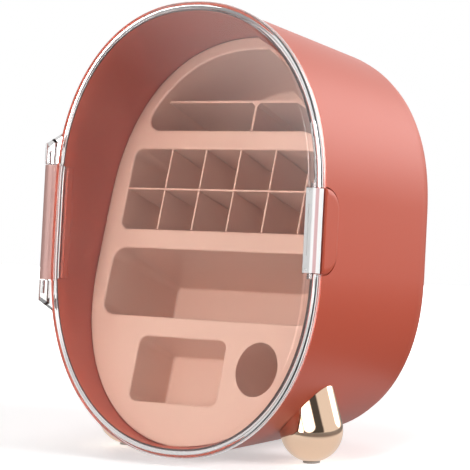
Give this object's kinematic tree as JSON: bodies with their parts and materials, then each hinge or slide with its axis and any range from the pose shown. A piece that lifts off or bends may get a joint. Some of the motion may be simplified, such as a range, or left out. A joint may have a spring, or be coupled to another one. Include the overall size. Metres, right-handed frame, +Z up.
{
  "type": "makeup organizer",
  "caption": "Oval countertop cosmetics case leaning back on ball feet, with a hinged clear dust lid, a side push latch and a pocketed inner tray.",
  "frame": {"origin": "middle of the whole object's footprint, on the surface it stands on, lid shut", "axes": "+Z up, -Y towards the clear front lid, +X to the latch side (the viewer's right when facing the front)"},
  "size_m": [0.2642, 0.2666, 0.3679],
  "materials": {
    "case_shell": "terracotta ABS, satin",
    "tray": "pale pink ABS, satin",
    "clear": "clear polished plastic",
    "seal": "dark soft seal",
    "hinge_moulding": "dusty pink, semi-gloss",
    "rose_gold": "rose-gold mirror plating",
    "steel": "plain steel",
    "rubber": "dark anti-slip rubber"
  },
  "bodies": {
    "case": {"outer_case": "case_shell", "organizer_tray": "tray", "arch_tub": "tray", "lipstick_tub": "tray", "wide_tub": "tray", "square_tub": "tray", "cup_tub": "tray", "shelf_insert": "tray", "grid_cross_divider": "tray", "grid_divider_1": "tray", "grid_divider_2": "tray", "grid_divider_3": "tray", "grid_divider_4": "tray", "grid_divider_5": "tray", "hinge_bracket": "hinge_moulding", "hinge_backing_plate": "hinge_moulding", "hinge_pin": "steel", "hinge_screw_1": "steel", "hinge_screw_2": "steel", "hinge_screw_3": "steel", "foot_left": "rose_gold", "foot_pad_left": "rubber", "foot_screw_left": "steel", "foot_washer_left": "steel", "foot_right": "rose_gold", "foot_pad_right": "rubber", "foot_screw_right": "steel", "foot_washer_right": "steel", "rear_pad": "rubber"},
    "lid": {"lid_cover": "clear", "dust_seal": "seal", "latch_pin": "steel"},
    "latch": {"latch_lever": "clear", "latch_spring": "steel"},
    "button": {"release_button": "case_shell", "button_clip_1": "steel", "button_clip_2": "steel"}
  },
  "joints": [
    {"name": "lid_hinge", "type": "hinge", "parent": "case", "child": "lid", "pos_m": [-0.12615, -0.1029, 0.18876], "axis": [0, -0.101, -0.9949], "range_deg": [0, 120]},
    {"name": "button_press", "type": "slide", "parent": "case", "child": "button", "axis": [-1, 0, 0], "range_m": [0, 0.0015], "stiffness_N_per_m": 1500},
    {"name": "latch_pivot", "type": "hinge", "parent": "lid", "child": "latch", "pos_m": [0.12565, -0.11145, 0.18963], "axis": [0, 0.101, 0.9949], "range_deg": [0, 4.49]}
  ],
  "couplings": [
    {"joint": "latch_pivot", "follows": "button_press", "rad_per_m": 51.68}
  ]
}
